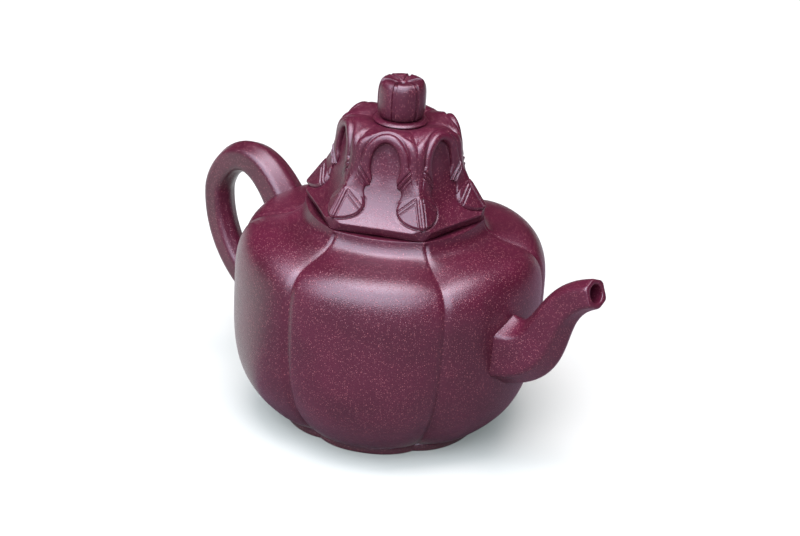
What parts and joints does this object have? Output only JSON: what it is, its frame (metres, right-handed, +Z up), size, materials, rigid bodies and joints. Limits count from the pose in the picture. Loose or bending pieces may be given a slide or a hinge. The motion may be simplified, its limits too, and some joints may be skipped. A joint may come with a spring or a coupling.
{
  "type": "yixing clay teapot",
  "caption": "Unglazed purple clay teapot with a six-lobed belly, curved spout, ear handle and a loose hexagonal lid with raised cloud bands, corner leaves and a lobed knob",
  "frame": {"origin": "centre of the foot ring, at the level it stands on", "axes": "+X towards the spout, -X towards the handle, +Z up"},
  "size_m": [0.1637, 0.0994, 0.1161],
  "materials": {
    "clay_burnished": "unglazed purple clay, burnished by hand to a soft satin sheen, with fine pale grains",
    "clay_inner": "the same purple clay left matt and slightly rough where the burnishing tool doesn't reach"
  },
  "bodies": {
    "pot": {"belly_wall": "clay_burnished", "shoulder_slab": "clay_burnished", "base_slab": "clay_inner", "foot_ring": "clay_burnished", "mouth_ring": "clay_inner", "spout": "clay_burnished", "spout_strainer": "clay_inner", "handle": "clay_burnished"},
    "lid": {"lid_dome": "clay_burnished", "lid_flange": "clay_inner", "knob_collar": "clay_burnished", "knob": "clay_burnished", "cloud_band_1": "clay_burnished", "cloud_band_2": "clay_burnished", "cloud_band_3": "clay_burnished", "cloud_band_4": "clay_burnished", "cloud_band_5": "clay_burnished", "cloud_band_6": "clay_burnished", "corner_leaf_1": "clay_burnished", "corner_leaf_2": "clay_burnished", "corner_leaf_3": "clay_burnished", "corner_leaf_4": "clay_burnished", "corner_leaf_5": "clay_burnished", "corner_leaf_6": "clay_burnished"}
  },
  "joints": [
    {"name": "lid_lift", "type": "slide", "parent": "pot", "child": "lid", "axis": [0, 0, 1], "range_m": [0, 0.06]}
  ]
}
